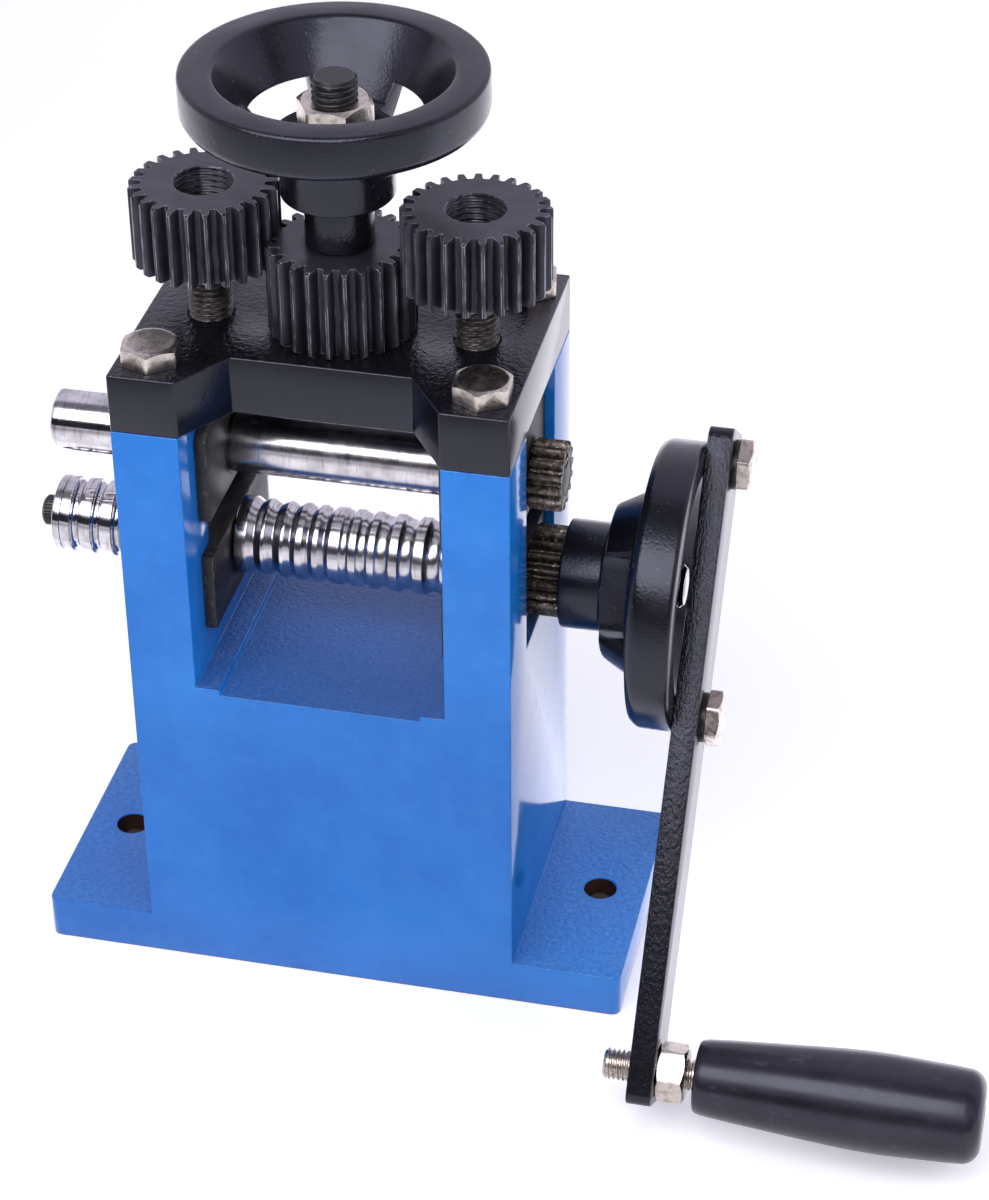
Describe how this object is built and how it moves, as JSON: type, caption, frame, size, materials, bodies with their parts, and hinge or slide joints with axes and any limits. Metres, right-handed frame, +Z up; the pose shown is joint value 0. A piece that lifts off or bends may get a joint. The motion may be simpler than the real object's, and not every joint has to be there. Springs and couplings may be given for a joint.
{
  "type": "ring roller",
  "caption": "Hand-cranked mini rolling mill with grooved and plain rolls, a side overhang for rolling rings, and a geared hand wheel that sets the gap.",
  "frame": {"origin": "centre of the base's bolt line, on the base's underside", "axes": "+X from the block to the crank, -Y the front that the operator faces, +Z up"},
  "size_m": [0.3268, 0.1533, 0.3151],
  "materials": {
    "blue_paint": "glossy enamel over a sand casting",
    "black_casting": "satin black",
    "black_steel": "black oxide, oiled",
    "block_steel": "milled, dark, oiled",
    "pinion_steel": "dark, greased",
    "roll_steel": "polished",
    "zinc_steel": "bright zinc plated",
    "screw_black": "black oxide",
    "bronze": "machined",
    "spring_steel": "drawn wire",
    "grip_plastic": "semi-gloss black"
  },
  "bodies": {
    "frame": {"frame_casting": "blue_paint", "top_plate": "black_casting", "top_plate_bush": "bronze", "top_plate_bolts": "zinc_steel", "lower_block_left": "block_steel", "lower_block_right": "block_steel", "lower_bushes": "bronze", "lift_springs": "spring_steel"},
    "drive": {"lower_roller": "roll_steel", "lower_pinion": "pinion_steel", "lower_shaft_keys": "block_steel", "ring_sleeve": "roll_steel", "sleeve_key": "block_steel", "sleeve_washer": "roll_steel", "sleeve_screw": "screw_black", "crank_wheel": "black_casting", "crank_nut": "zinc_steel", "crank_arm": "black_casting", "crank_arm_bolts": "zinc_steel", "crank_arm_washers": "screw_black", "grip_stud": "zinc_steel", "grip_nut": "zinc_steel", "grip_retaining_ring": "spring_steel"},
    "grip": {"grip": "grip_plastic"},
    "upper_carriage": {"upper_block_left": "block_steel", "upper_block_right": "block_steel", "upper_bushes": "bronze"},
    "upper_roll": {"upper_roller": "roll_steel", "upper_pinion": "pinion_steel", "upper_pinion_key": "block_steel"},
    "left_screw": {"side_gear_left": "black_steel", "pressure_screw_left": "screw_black", "screw_pin_left": "block_steel"},
    "right_screw": {"side_gear_right": "black_steel", "pressure_screw_right": "screw_black", "screw_pin_right": "block_steel"},
    "adjuster": {"adjuster_shaft": "black_steel", "centre_gear": "black_steel", "spacer_collar": "black_casting", "adjuster_keys": "block_steel", "hand_wheel": "black_casting", "hand_wheel_nut": "zinc_steel"}
  },
  "joints": [
    {"name": "crank_spin", "type": "hinge", "parent": "frame", "child": "drive", "pos_m": [0, 0, 0.145], "axis": [1, 0, 0], "continuous": true},
    {"name": "grip_spin", "type": "hinge", "parent": "drive", "child": "grip", "pos_m": [0.17, -0.09101, 0.02201], "axis": [1, 0, 0], "continuous": true},
    {"name": "adjust_spin", "type": "hinge", "parent": "frame", "child": "adjuster", "pos_m": [0, 0, 0.228], "axis": [0, 0, 1], "range_deg": [0, 2340]},
    {"name": "gap_slide", "type": "slide", "parent": "frame", "child": "upper_carriage", "axis": [0, 0, 1], "range_m": [-0.013, 0], "deforming": ["lift_springs"]},
    {"name": "upper_spin", "type": "hinge", "parent": "upper_carriage", "child": "upper_roll", "pos_m": [0, 0, 0.18128], "axis": [1, 0, 0], "continuous": true},
    {"name": "left_screw_spin", "type": "hinge", "parent": "upper_carriage", "child": "left_screw", "pos_m": [-0.0425, 0, 0.24], "axis": [0, 0, 1], "range_deg": [-2340, 0]},
    {"name": "right_screw_spin", "type": "hinge", "parent": "upper_carriage", "child": "right_screw", "pos_m": [0.0425, 0, 0.24], "axis": [0, 0, 1], "range_deg": [-2340, 0]}
  ],
  "couplings": [
    {"joint": "upper_spin", "follows": "crank_spin", "ratio": -1.3571},
    {"joint": "gap_slide", "follows": "adjust_spin", "m_per_rad": -0.0003183},
    {"joint": "left_screw_spin", "follows": "adjust_spin", "ratio": -1},
    {"joint": "right_screw_spin", "follows": "adjust_spin", "ratio": -1}
  ]
}
